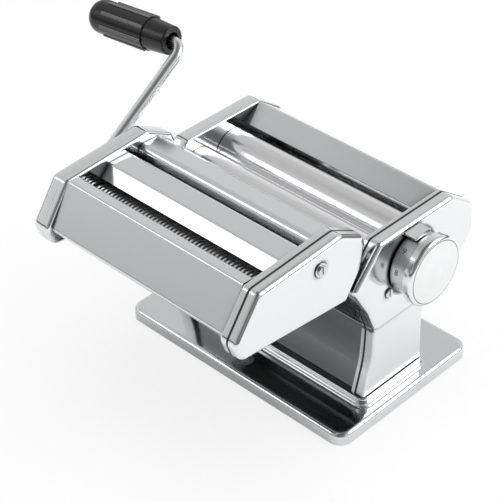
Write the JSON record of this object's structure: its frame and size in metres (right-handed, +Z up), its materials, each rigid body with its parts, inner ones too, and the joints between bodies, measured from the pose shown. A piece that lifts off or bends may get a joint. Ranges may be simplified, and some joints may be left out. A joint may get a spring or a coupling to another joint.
{
  "type": "pasta roller machine",
  "caption": "Hand-cranked pasta roller machine: smooth rollers in a steel body on a flat base, a lift-off double cutter head, a thickness knob and a black-gripped crank.",
  "frame": {"origin": "on the base's underside at table height, midway between the side covers and below the middle of the body", "axes": "+X along the rollers towards the thickness knob, -Y towards the cutter head, +Z up"},
  "size_m": [0.2895, 0.2062, 0.1903],
  "materials": {
    "polished_steel": "mirror-polished stainless steel",
    "sheet_steel": "plain stainless sheet",
    "underlay_rubber": "matt black",
    "socket_steel": "turned",
    "rod_steel": "bright drawn bar",
    "screw_steel": "zinc plated",
    "bush_plastic": "natural nylon",
    "scraper_plastic": "moulded",
    "roller_steel": "ground and polished",
    "cutter_steel": "ground rings",
    "gear_steel": "sintered",
    "knob_metal": "satin turned",
    "spring_steel": "drawn wire",
    "black_plastic": "moulded black"
  },
  "bodies": {
    "machine_body": {"base_plate": "polished_steel", "base_underlay": "underlay_rubber", "clamp_socket": "socket_steel", "side_frame_left": "polished_steel", "side_frame_right": "polished_steel", "side_cover_left": "polished_steel", "side_cover_right": "polished_steel", "front_panel": "polished_steel", "chute_panel": "sheet_steel", "hopper_plate": "polished_steel", "frame_tie_rods": "rod_steel", "cover_posts": "rod_steel", "cover_screws": "screw_steel", "drive_bushes": "bush_plastic", "scraper_front": "scraper_plastic", "scraper_rear": "scraper_plastic", "index_pin": "rod_steel", "index_pointer": "knob_metal"},
    "driven_roller": {"drive_roller": "roller_steel", "drive_gear": "gear_steel"},
    "roller_carriage": {"carriage_block_left": "gear_steel", "carriage_block_right": "gear_steel", "carriage_bar": "rod_steel"},
    "adjusting_roller": {"pressure_roller": "roller_steel", "pressure_gear": "gear_steel"},
    "regulator": {"regulator_spindle": "rod_steel", "regulator_cam": "gear_steel", "regulator_nut": "rod_steel", "knob_spring": "spring_steel"},
    "knob": {"knob_drum": "knob_metal", "knob_cap": "knob_metal"},
    "cutter_head": {"cutter_plate_left": "polished_steel", "cutter_plate_right": "polished_steel", "cutter_cover_left": "polished_steel", "cutter_cover_right": "polished_steel", "cutter_front_panel": "polished_steel", "cutter_divider": "polished_steel", "cutter_rear_panel": "polished_steel", "cutter_tie_rods": "rod_steel", "cutter_studs": "rod_steel", "cutter_bushes": "bush_plastic", "fine_comb_front": "scraper_plastic", "fine_comb_rear": "scraper_plastic", "wide_comb_front": "scraper_plastic", "wide_comb_rear": "scraper_plastic", "cutter_posts": "rod_steel", "cutter_screws": "screw_steel", "cutter_washers": "screw_steel"},
    "fine_cutter_front": {"fine_roller_front": "cutter_steel", "fine_gear_front": "gear_steel"},
    "fine_cutter_rear": {"fine_roller_rear": "cutter_steel", "fine_gear_rear": "gear_steel"},
    "wide_cutter_front": {"wide_roller_front": "cutter_steel", "wide_gear_front": "gear_steel"},
    "wide_cutter_rear": {"wide_roller_rear": "cutter_steel", "wide_gear_rear": "gear_steel"},
    "crank": {"crank_rod": "rod_steel", "grip_washer": "screw_steel"},
    "grip": {"crank_grip": "black_plastic"}
  },
  "joints": [
    {"name": "roller_turn", "type": "hinge", "parent": "machine_body", "child": "driven_roller", "pos_m": [0, -0.0095, 0.104], "axis": [1, 0, 0], "continuous": true},
    {"name": "gap_slide", "type": "slide", "parent": "machine_body", "child": "roller_carriage", "axis": [0, 1, 0], "range_m": [0, 0.0025]},
    {"name": "pressure_turn", "type": "hinge", "parent": "roller_carriage", "child": "adjusting_roller", "pos_m": [0, 0.022, 0.104], "axis": [1, 0, 0], "continuous": true},
    {"name": "thickness_turn", "type": "hinge", "parent": "machine_body", "child": "regulator", "pos_m": [0.088, 0.0105, 0.103], "axis": [1, 0, 0], "range_deg": [0, 270]},
    {"name": "knob_pull", "type": "slide", "parent": "regulator", "child": "knob", "axis": [1, 0, 0], "range_m": [0, 0.0045], "stiffness_N_per_m": 400, "springref_m": -0.003, "deforming": ["knob_spring"]},
    {"name": "cutter_lift", "type": "slide", "parent": "machine_body", "child": "cutter_head", "axis": [0, 0.6845, 0.729], "range_m": [0, 0.045]},
    {"name": "fine_turn", "type": "hinge", "parent": "cutter_head", "child": "fine_cutter_front", "pos_m": [0, -0.1135, 0.1265], "axis": [1, 0, 0], "continuous": true},
    {"name": "fine_rear_turn", "type": "hinge", "parent": "cutter_head", "child": "fine_cutter_rear", "pos_m": [0, -0.095, 0.1265], "axis": [1, 0, 0], "continuous": true},
    {"name": "crank_turn", "type": "hinge", "parent": "cutter_head", "child": "wide_cutter_front", "pos_m": [0, -0.0725, 0.1265], "axis": [1, 0, 0], "continuous": true},
    {"name": "wide_rear_turn", "type": "hinge", "parent": "cutter_head", "child": "wide_cutter_rear", "pos_m": [0, -0.054, 0.1265], "axis": [1, 0, 0], "continuous": true},
    {"name": "crank_pull", "type": "slide", "parent": "wide_cutter_front", "child": "crank", "axis": [-1, 0, 0], "range_m": [0, 0.02]},
    {"name": "grip_spin", "type": "hinge", "parent": "crank", "child": "grip", "pos_m": [-0.14493, 0.00344, 0.17715], "axis": [0.9962, 0.0725, 0.0484], "continuous": true}
  ],
  "couplings": [
    {"joint": "pressure_turn", "follows": "roller_turn", "ratio": -1},
    {"joint": "thickness_turn", "follows": "gap_slide", "rad_per_m": 1885},
    {"joint": "wide_rear_turn", "follows": "crank_turn", "ratio": -1},
    {"joint": "fine_rear_turn", "follows": "fine_turn", "ratio": -1}
  ]
}
